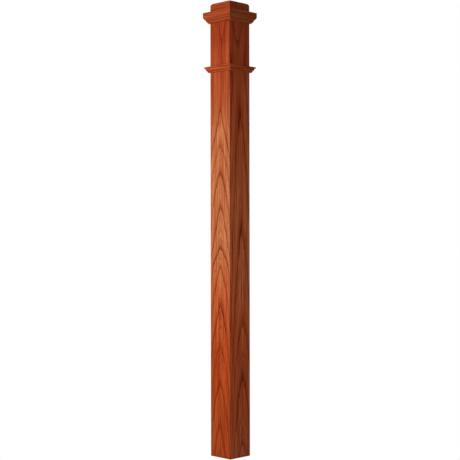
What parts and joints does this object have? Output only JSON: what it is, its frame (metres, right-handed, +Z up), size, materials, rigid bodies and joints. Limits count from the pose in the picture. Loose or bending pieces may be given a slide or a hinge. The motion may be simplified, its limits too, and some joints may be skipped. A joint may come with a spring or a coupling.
{
  "type": "box newel post",
  "caption": "Square hollow staircase newel post of stained oak boards, with a rounded cap block and two mitred mouldings, that ends a handrail.",
  "frame": {"origin": "middle of the foot's outline, on the surface that the post stands on", "axes": "+Z up along the post's middle line, -Y out of the front board and +X out of the right board"},
  "size_m": [0.1222, 0.1222, 1.4478],
  "materials": {
    "boards": "satin",
    "cap_block": "satin",
    "mouldings": "satin"
  },
  "bodies": {
    "root": {"front_board": "boards", "right_board": "boards", "back_board": "boards", "left_board": "boards", "cap_block": "cap_block", "front_cap_moulding": "mouldings", "right_cap_moulding": "mouldings", "back_cap_moulding": "mouldings", "left_cap_moulding": "mouldings", "front_collar_moulding": "mouldings", "right_collar_moulding": "mouldings", "back_collar_moulding": "mouldings", "left_collar_moulding": "mouldings"}
  },
  "joints": []
}
